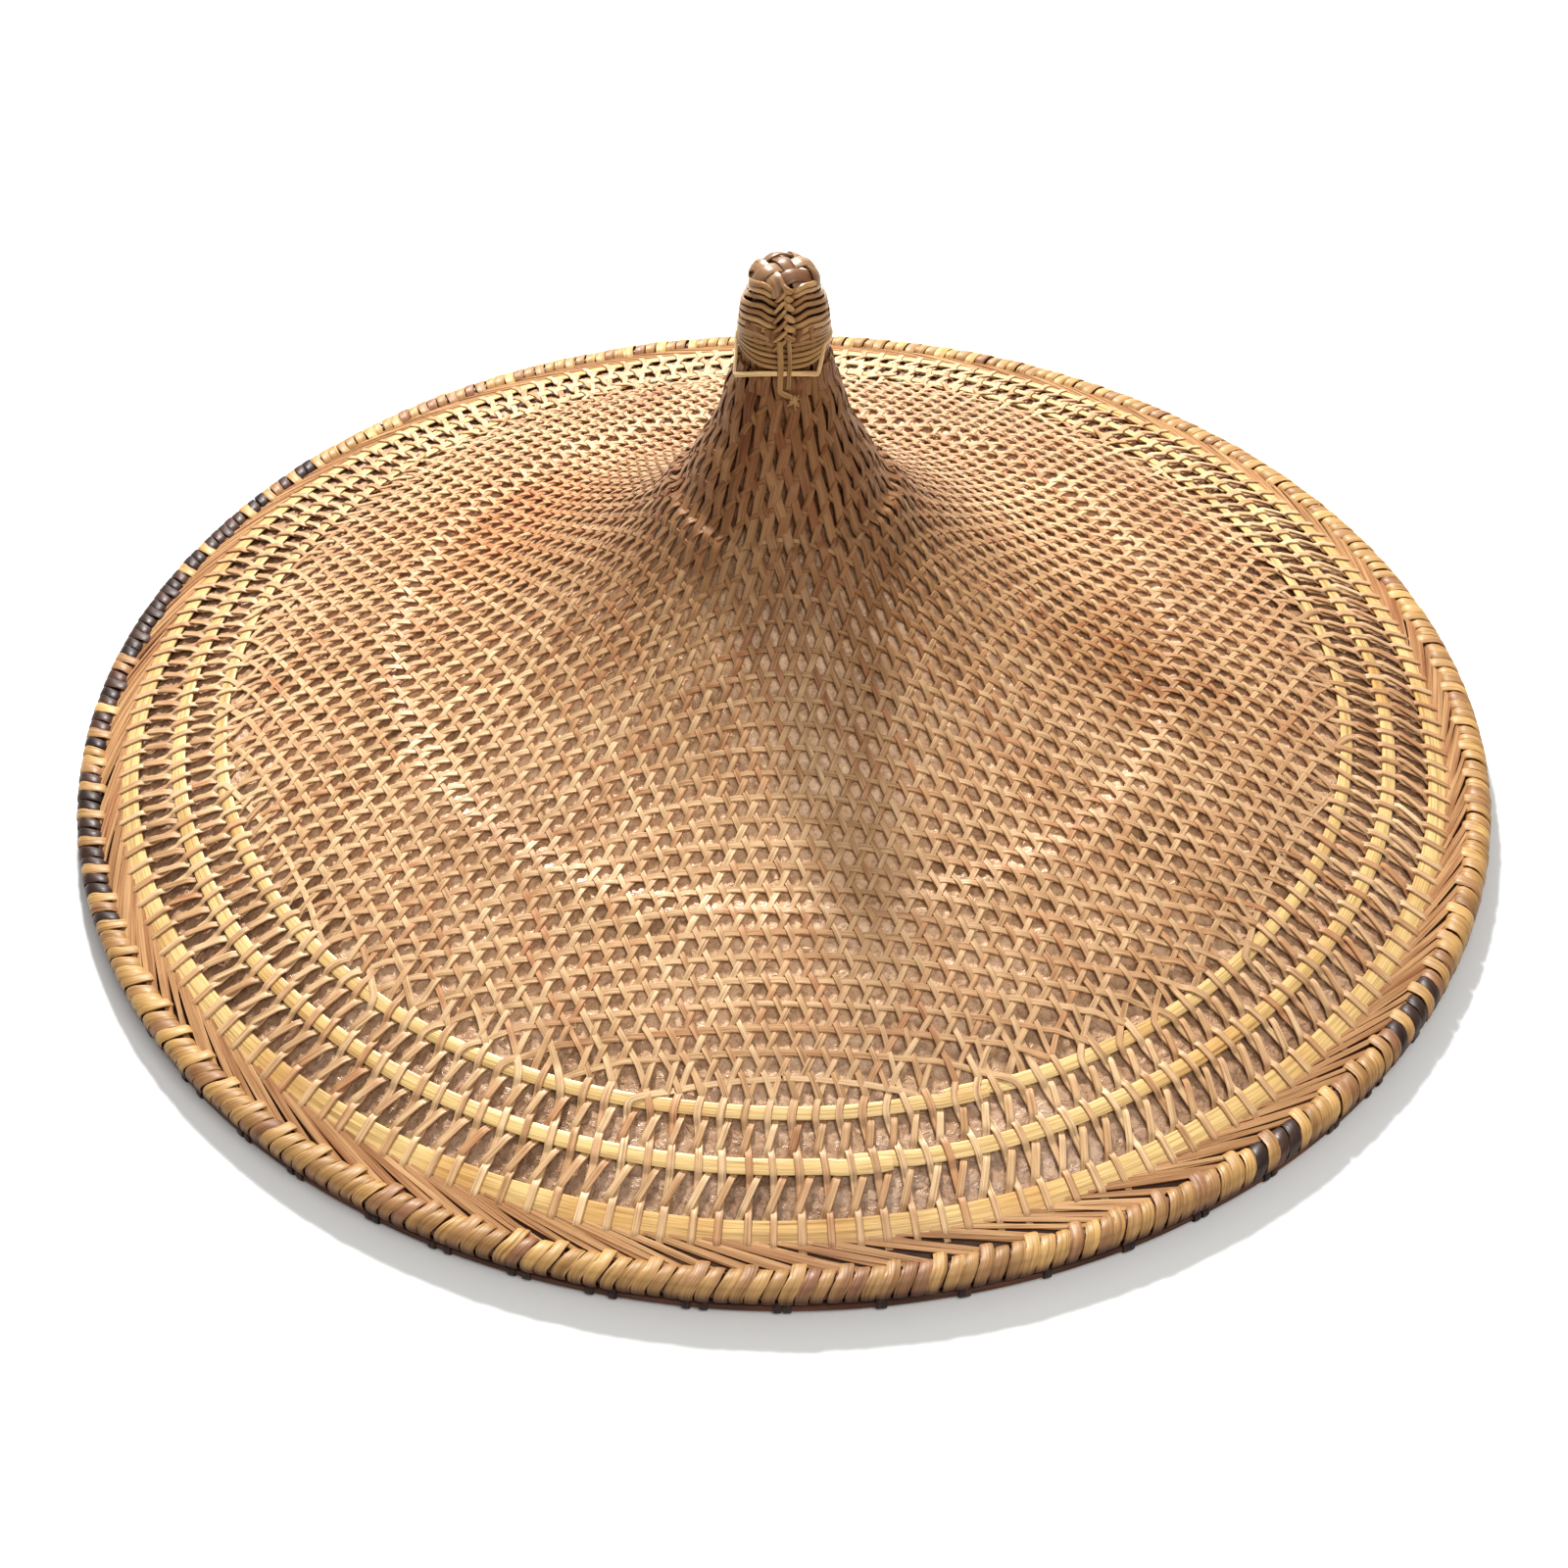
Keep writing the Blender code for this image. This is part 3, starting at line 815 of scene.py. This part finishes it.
def leaf_lining():
    """The leaf sheet under the weave, crinkled, from the neck to the rim, in three sectors."""
    rings, columns = 170, 181
    arcs = np.linspace(2 * MM, arc_at(RIM_RADIUS) - 5 * MM, rings)
    grid = np.arange(rings * columns).reshape(rings, columns)
    top = np.stack([grid[:-1, :-1], grid[1:, :-1], grid[1:, 1:], grid[:-1, 1:]]).reshape(4, -1).T
    edge = np.concatenate([grid[0, :-1], grid[:-1, -1], grid[-1, :0:-1], grid[:0:-1, 0]])
    beside, under = np.roll(edge, -1), rings * columns
    wall = np.stack([edge, beside, beside + under, edge + under], 1)
    faces = np.concatenate([top, top[:, ::-1] + under, wall]).tolist()
    for part in range(3):
        azimuth = (part + np.linspace(0, 1, columns)) * TURN / 3
        arc_grid, azimuth_grid = np.meshgrid(arcs, azimuth, indexing="ij")
        lift = LEAF_LIFT + crinkle(arc_grid, azimuth_grid)
        layers = [on_crown(arc_grid, azimuth_grid, lift - d)[0] for d in (0, LEAF_THICKNESS)]
        mesh = bpy.data.meshes.new("leaf_sheet")
        mesh.from_pydata(np.concatenate(layers).reshape(-1, 3).tolist(), [], faces)
        name = f"leaf_sheet_{part + 1}"
        add_piece(name, mesh, leaf_finish, ["leaf_lining"], sharp=60)


def crinkle(arc, azimuth):
    """Height of the leaf's crinkles: sharp ridges in many directions, 0 on average."""
    noise = np.random.default_rng(3)
    radius = np.interp(arc, ARCS, RADII)
    x, y = radius * np.cos(azimuth), radius * np.sin(azimuth)
    height = np.zeros_like(arc)
    for _ in range(CRINKLE_WAVES):
        waves, angle = noise.uniform(350, 1300), noise.uniform(0, TURN)
        phase = waves * (x * math.cos(angle) + y * math.sin(angle)) + noise.uniform(0, TURN)
        height += 4 / math.pi - 2 * np.abs(np.sin(phase))
    return CRINKLE_HEIGHT * height


INNER_PITCH = 15 * MM
INNER_SPLINT = (1.7 * MM, 0.26 * MM)
INNER_LIFT = -3.6 * MM
INNER_WAVE = 0.36 * MM
INNER_STEP = 0.15
INNER_START = 1.3  # rows from the axis where its splints start


def inner_weave():
    """The coarser hexagonal weave on the inside of the hat."""
    _, edge, _, _ = ring_size("inner_weave")
    edge_row = arc_at(edge) / INNER_PITCH + 1
    weave = Ribbons()
    half_width, half_thickness = INNER_SPLINT
    for family in range(3):
        for offset in np.arange(-math.floor(edge_row) + 0.5, math.floor(edge_row)):
            end = math.sqrt(edge_row**2 - offset**2)
            start = math.sqrt(max(INNER_START**2 - offset**2, 0))
            spans = [(-end, -start), (start, end)] if start else [(-end, end)]
            for low, high in spans:
                along = np.linspace(low, high, max(int((high - low) / INNER_STEP), 6))
                x, y = flat_point(family, offset, along)
                rows, azimuth = np.hypot(x, y), np.unwrap(np.arctan2(y, x))
                over = FAMILY_ANGLES[(family + 1) % 3]
                lift = -INNER_WAVE * np.cos(TURN * (x * math.cos(over) + y * math.sin(over)))
                arc = (rows - 1) * INNER_PITCH
                radius = np.interp(arc, ARCS, RADII)
                width = half_width * (0.5 + 0.5 * smoothstep((radius - 12 * MM) / (60 * MM)))
                weave.add(*on_crown(arc, azimuth, INNER_LIFT + lift), width, half_thickness)
    weave.build("inner_weave_strands", inner_finish, "inner_splint", "inner_weave")


# ------ head ring

STAKES = 84
BAND_ROWS = 5
BAND_WAVE = 0.35 * MM


def head_ring():
    inner, outer, low, high = ring_size("head_band")
    middle = (inner + outer) / 2
    band = Ribbons()
    azimuth = right_round(STAKES * 6)
    pitch = (high - low) / BAND_ROWS
    for row in range(BAND_ROWS):
        radius = middle + BAND_WAVE * np.cos(azimuth * STAKES / 2 + row * math.pi)
        points = polar(radius, azimuth, low + (row + 0.5) * pitch)
        band.add(points, polar(1, azimuth, 0), pitch * 0.44, 0.2 * MM, None, True)
    for stake in range(STAKES):
        angle = TURN * stake / STAKES
        share = np.linspace(-0.04, 1.04, 26)
        phase = angle * STAKES / 2 + (share * BAND_ROWS - 0.5) * math.pi
        points = polar(middle - BAND_WAVE * np.cos(phase), angle, low + share * (high - low))
        normals = polar(np.ones_like(share), angle, 0)
        band.add(points, normals, 1.35 * MM, 0.2 * MM)
    band.build("head_band_weave", inner_finish, "inner_splint", "head_band")
    for node in ("head_top_hoop", "head_bottom_hoop"):
        round_hoop(f"{node}_bamboo", node, rim_finish, "rim_splint")


def head_ties():
    """Each tie is wound twice round the top hoop and up to the inner weave."""
    ties = sorted(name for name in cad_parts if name.startswith("head_tie"))
    for name in ties:
        low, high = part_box(name)
        middle = (low + high) / 2
        angle = math.atan2(middle.y, middle.x)
        inner, outer, _, _ = ring_size(name)
        tie = Ribbons(ROUNDED)
        for shift in (-1.0 * MM, 1.0 * MM):
            turn = right_round(24)
            out, up = bundle_section(turn, (outer - inner) / 2 - 0.3 * MM, (high.z - low.z) / 2)
            radius = (inner + outer) / 2 + out
            angles = angle + (shift + 0.5 * MM * np.sin(turn)) / radius
            points = polar(radius, angles, middle.z + up)
            normals = unit(points - polar((inner + outer) / 2, angle, middle.z))
            tie.add(points, normals, 0.9 * MM, 0.3 * MM, None, True)
        tie.build(f"{name}_splint", rim_finish, "rim_splint", name)


# ------ tip

def tip_radius():
    """Radius of the tip at each height, through the CAD's tie, loops, wraps and knot."""
    names = ["tip_tie", "tip_lower_loops", "tip_wrap_3", "tip_knot"]
    heights, radii = [], []
    for name in names:
        _, outer, low, high = ring_size(name)
        heights.append(low if name == "tip_knot" else (low + high) / 2)
        radii.append(outer + (0.6 * MM if name == "tip_knot" else 0))
    return np.array(heights), np.array(radii)


TIP_HEIGHTS, TIP_RADII = tip_radius()
TIP_TOP = ring_size("tip_knot")[3]
TIP_FOOT = TIP_HEIGHTS[0]
WRAP_LOW, WRAP_HIGH = ring_size("tip_wrap_1")[2], ring_size("tip_wrap_6")[3]


def on_tip(azimuth, height, lift):
    """Points and normals on the tip's side."""
    radius = np.interp(height, TIP_HEIGHTS, TIP_RADII)
    slope = (
        np.interp(height + 0.5 * MM, TIP_HEIGHTS, TIP_RADII)
        - np.interp(height - 0.5 * MM, TIP_HEIGHTS, TIP_RADII)
    ) / MM
    length = np.hypot(1, slope)
    points = polar(radius + lift / length, azimuth, height - lift * slope / length)
    return points, polar(1 / length, azimuth, -slope / length)


STRIPS = 8  # in place of the CAD's six plain wraps
STRIPS_PITCH = 2.0 * MM
STRIPS_FOOT = WRAP_LOW - 1.2 * MM
PLAIT_HALF = math.radians(11)


def tip_wraps():
    """Strips round the tip from one side of the plait to the other. They rise from the plait and
    fall again towards the back."""
    wraps = Ribbons(ROUNDED)
    for i in range(STRIPS):
        away = np.linspace(PLAIT_HALF, TURN - PLAIT_HALF, 100)
        nearest = np.minimum(away, TURN - away)
        rise = 1.7 * MM * smoothstep(nearest / math.radians(42))
        rise = rise - 2.9 * MM * np.clip(nearest / math.radians(55) - 0.62, 0, 1) ** 1.2
        height = STRIPS_FOOT + i * STRIPS_PITCH + rise + wander(100, 0.14 * MM)
        tucked = smoothstep((nearest - PLAIT_HALF) / math.radians(12))
        lift = (-1.0 + 0.9 * tucked) * MM + wander(100, 0.08 * MM)
        width = STRIPS_PITCH * rng.uniform(0.36, 0.42)
        wraps.add(*on_tip(FRONT + away, height, lift), width, 0.48 * MM)
    wraps.build(
        "tip_wrap_strips", tip_finish, "tip_splint", *[f"tip_wrap_{i}" for i in range(1, 7)]
    )


PLAIT_CELLS = 6


def tip_plait():
    """Two columns of short bent strips down the front, crossing where the wraps meet."""
    plait = Ribbons(ROUNDED)
    top, foot = STRIPS_FOOT + STRIPS * STRIPS_PITCH + 0.6 * MM, STRIPS_FOOT + 0.2 * MM
    pitch = (top - foot) / PLAIT_CELLS
    share = np.linspace(0, 1, 16)
    for i in range(PLAIT_CELLS):
        for side, length, width in ((1, 1.7, 0.66 * MM), (-1, 0.75, 0.98 * MM)):
            sway = side * math.radians(14) * (1 - (1.45 if side > 0 else 1.05) * share)
            height = top - (i + 0.3 * (side > 0)) * pitch
            height = height - length * pitch * (1 - share) + rng.gauss(0, 0.1 * MM)
            lift = (-0.5 + 1.7 * np.sin(math.pi * share) ** 0.6) * MM
            taper = 0.6 + 0.4 * np.sin(math.pi * share)
            plait.add(*on_tip(FRONT - sway, height, lift), width * taper, 0.45 * MM)
    plait.build("tip_plait_strips", tip_finish, "tip_splint", "tip_front_plait")


LOOP_COUNT = 6


def tip_loops():
    """Loops round the tip's foot, below the plait. They crowd together at the sides."""
    _, _, low, high = ring_size("tip_lower_loops")
    loops = Ribbons(ROUNDED)
    top, foot = high + 1.0 * MM, low - 0.2 * MM
    pitch = (top - foot) / LOOP_COUNT
    azimuth = right_round(110)
    away = np.abs(half_turned(azimuth - FRONT))
    climb = smoothstep((away - math.radians(22)) / math.radians(62))
    for i in range(LOOP_COUNT):
        height = (top + foot) / 2 + (LOOP_COUNT / 2 - i - 0.5) * pitch * (1 - 0.6 * climb)
        height = height + 0.05 * MM * np.sin(3 * azimuth + rng.uniform(0, TURN))
        points, normals = on_tip(azimuth, height, -0.4 * MM)
        loops.add(points, normals, pitch * (0.40 - 0.12 * climb), 0.45 * MM, None, True)
    loops.build("tip_loop_strips", tip_light_finish, "tip_splint", "tip_lower_loops")


GATHERED = 46  # splints of the weave that run up under the tip


def tip_gather():
    """The weave's splints drawn together side by side below the loops."""
    gathered = Ribbons()
    share = np.linspace(0, 1, 14)
    low, high = TIP_FOOT - 8 * MM, TIP_FOOT + 13 * MM
    for i in range(GATHERED):
        height = low + (high - low) * share
        radius = np.interp(-height, -HEIGHTS, RADII)
        radius = np.where(height > TIP_FOOT - 3 * MM, np.minimum(radius, 13.3 * MM), radius)
        radius = radius - 0.5 * MM + rng.uniform(-0.15, 0.25) * MM
        lean = math.radians(rng.choice((-14, 14)) + rng.uniform(-5, 5))
        azimuth = TURN * (i + rng.uniform(-0.3, 0.3)) / GATHERED + lean * (share - 0.5)
        points, normals = polar(radius, azimuth, height), polar(1, azimuth, 0.2)
        gathered.add(points, normals, rng.uniform(0.9, 1.2) * MM, 0.22 * MM)
    gathered.build("tip_gathered_splints", weave_finish, "woven_splint", "outer_weave")


TIE_SAG = 9.5 * MM  # how far the tie dips from the front to a quarter turn round
TIE_RISE = 5.2 * MM  # how much higher it is at the back than at the front


def tip_tie():
    """A light splint across the front of the foot that climbs at both sides to the back."""
    _, _, low, high = ring_size("tip_tie")
    tie = Ribbons(ROUNDED)
    azimuth = right_round(160)
    from_front = half_turned(azimuth - FRONT)
    bend = np.where(from_front > 0, math.radians(40), math.radians(68))
    away = np.minimum(np.abs(from_front), bend)
    climb = smoothstep((np.abs(from_front) - bend) / math.radians(20))
    sag = TIE_SAG * (1 - np.cos(away))
    height = (low + high) / 2 - sag + (TIE_RISE + sag) * climb
    radius = foot_radius(height) + (0.25 - 0.8 * climb) * MM
    points = polar(radius, azimuth, height)
    tie.add(points, polar(1, azimuth, 0), (0.80 - 0.25 * climb) * MM, 0.4 * MM, 0.1, True)
    tie.build("tip_tie_splint", tip_tie_finish, "hoop_bamboo", "tip_tie")


def foot_radius(height):
    """Radius of the outermost thing at the tip's foot: the tip itself or the crown below it."""
    tip = np.interp(height, TIP_HEIGHTS, TIP_RADII)
    crown = np.interp(-height, -HEIGHTS, RADII)
    return np.maximum(np.where(height < TIP_FOOT, 0, tip), crown)


def tip_ends():
    """The two loose ends down the front, and the frayed knot that the longer one runs into."""
    knot_low, knot_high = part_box("tip_end_knot")
    knot_middle = (knot_low + knot_high) / 2
    for node, drop, width in (("tip_end_left", 4.2, 0.85), ("tip_end_right", 1.0, 0.6)):
        low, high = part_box(node)
        x = (low.x + high.x) / 2
        end = Ribbons(ROUNDED)
        share = np.linspace(0, 1, 50)
        height = high.z + (low.z - drop * MM - high.z) * share
        radius = foot_radius(height) + (0.75 - 0.9 * (1 - smoothstep(share / 0.08))) * MM
        radius = blurred(radius)
        curl = smoothstep((share - 0.86) / 0.14) if drop > 2 else 0 * share
        across = x + 0.25 * MM * np.sin(4 * share) + (knot_middle.x - x) * curl
        points = np.stack([across, -np.sqrt(radius**2 - across**2), height], -1)
        normals = np.stack([across / radius, -1 + 0 * share, 0.3 + 0 * share], -1)
        end.add(points, normals, width * MM, 0.32 * MM, 0.4)
        end.build(f"{node}_splint", tip_light_finish, "hoop_bamboo", node)
    knot = Ribbons(ROUNDED)
    share = np.linspace(-1, 1, 14)
    for i in range(11):
        angle = rng.uniform(0, TURN)
        long = rng.uniform(1.2, 2.4) * MM
        x = knot_middle.x + long * (share * math.cos(angle) + 0.4 * share**2 * rng.uniform(-1, 1))
        z = knot_low.z + long * (share * math.sin(angle) - 0.4 * share**2 * rng.uniform(-0.5, 1))
        radius = foot_radius(z) + (1.5 - 0.9 * share**2 + 0.06 * i) * MM
        points = np.stack([x, -np.sqrt(radius**2 - x**2), z], -1)
        normals = np.tile([0.0, -1.0, 0.3], (len(share), 1))
        knot.add(points, normals, (0.5 - 0.3 * np.abs(share)) * MM, 0.16 * MM, 0.5)
    knot.build("tip_end_knot_splints", tip_finish, "hoop_bamboo", "tip_end_knot")


KNOT_BLUNTNESS = 2.5  # 2 would make the top round, and more makes it squarer
KNOT_WEAVE = 0.62 * MM


def tip_knot():
    """Broad strips laid over the top of the tip in two crossing sets, each over and under."""
    strips = Ribbons(ROUNDED)
    foot = WRAP_HIGH - 1.2 * MM
    reach = float(np.interp(foot, TIP_HEIGHTS, TIP_RADII)) - 0.3 * MM
    rise = TIP_TOP - 0.5 * MM - foot
    for set_angle, phase in ((math.radians(24), 0), (math.radians(121), math.pi)):
        along = np.array([math.cos(set_angle), math.sin(set_angle)])
        beside = np.array([-along[1], along[0]])
        for i, offset in enumerate((-0.68, -0.05, 0.62)):
            offset += rng.uniform(-0.07, 0.07)
            t = math.sqrt(1 - offset**2) * np.linspace(-0.999, 0.999, 44)
            flat = t[:, None] * along + offset * beside
            out = np.hypot(*flat.T)
            up = np.maximum(1 - out**KNOT_BLUNTNESS, 0) ** (1 / KNOT_BLUNTNESS)
            weave = KNOT_WEAVE * np.cos(math.pi * (t / 0.64) + phase + i * math.pi)
            height = foot + rise * up
            normals = unit(np.stack([flat[:, 0] * out, flat[:, 1] * out, up], 1))
            points = np.concatenate([flat * reach, height[:, None]], 1)
            width = rng.uniform(2.0, 2.5) * MM
            strips.add(points + normals * weave[:, None], normals, width, 0.5 * MM)
    strips.build("tip_knot_strips", tip_knot_finish, "tip_splint", "tip_knot")


# ------ stage

def stage():
    bpy.ops.mesh.primitive_plane_add(size=6)
    floor = bpy.context.object
    floor.name = "floor"
    material, _, shader = new_nodes("floor_white")
    shader.inputs["Base Color"].default_value = (0.93, 0.93, 0.92, 1)
    shader.inputs["Roughness"].default_value = 0.9
    floor.data.materials.append(material)
    world = bpy.data.worlds.new("studio")
    bpy.context.scene.world = world
    world.use_nodes = True
    world.node_tree.nodes["Background"].inputs[0].default_value = (1.0, 0.99, 0.97, 1)
    world.node_tree.nodes["Background"].inputs[1].default_value = 0.27
    for name, place, size, power in (
        ("key", (-0.20, 1.00, 1.20), 0.17, 26),
        ("fill", (0.30, -0.85, 1.30), 1.0, 8),
        ("back", (0.10, 1.90, 0.45), 0.9, 4),
    ):
        light = bpy.data.lights.new(name, "AREA")
        light.size, light.energy = size, power
        lamp = bpy.data.objects.new(name, light)
        bpy.context.scene.collection.objects.link(lamp)
        lamp.location = place
        lamp.visible_camera = False
        aim = Vector((0, 0, 0.05)) - Vector(place)
        lamp.rotation_euler = aim.to_track_quat("-Z", "Y").to_euler()


CAMERA_DISTANCE = 3.3749  # in rim radii, from the middle of the rim's plane
CAMERA_ELEVATION = 0.7240  # angle of that middle's line to the camera, in radians
CAMERA_PITCH = 0.7550  # how far the camera looks down, in radians
CAMERA_LENS = 52.42  # mm, on a sensor 36 mm wide


def camera():
    data = bpy.data.cameras.new("camera")
    data.lens = CAMERA_LENS
    data.sensor_width = 36
    eye = bpy.data.objects.new("camera", data)
    bpy.context.scene.collection.objects.link(eye)
    distance = CAMERA_DISTANCE * RIM_RADIUS
    rim_plane = float(np.interp(RIM_RADIUS, RADII, HEIGHTS))
    eye.location = (
        0,
        -distance * math.cos(CAMERA_ELEVATION),
        rim_plane + distance * math.sin(CAMERA_ELEVATION),
    )
    eye.rotation_euler = (math.pi / 2 - CAMERA_PITCH, 0, 0)
    bpy.context.scene.camera = eye


bpy.context.scene.view_settings.view_transform = "Standard"
bpy.context.scene.view_settings.look = "High Contrast"
camera()
slot_count = outer_weave()
flat_hoops()
border(slot_count)
rim_binding()
round_hoop("rim_hoop_core", "rim_hoop", core_finish, "rim_core", (BUNDLE_HALF, BUNDLE_HALF))
# the lower hoop takes the dark core finish as painted shade, for the shadow under the rim
round_hoop("rim_under_hoop_core", "rim_under_hoop", core_finish, "rim_core")
under_wraps()
leaf_lining()
inner_weave()
head_ring()
head_ties()
tip_gather()
tip_wraps()
tip_plait()
tip_loops()
tip_tie()
tip_ends()
tip_knot()
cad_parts["tip_core"].material_slots[0].material = core_finish
stage()
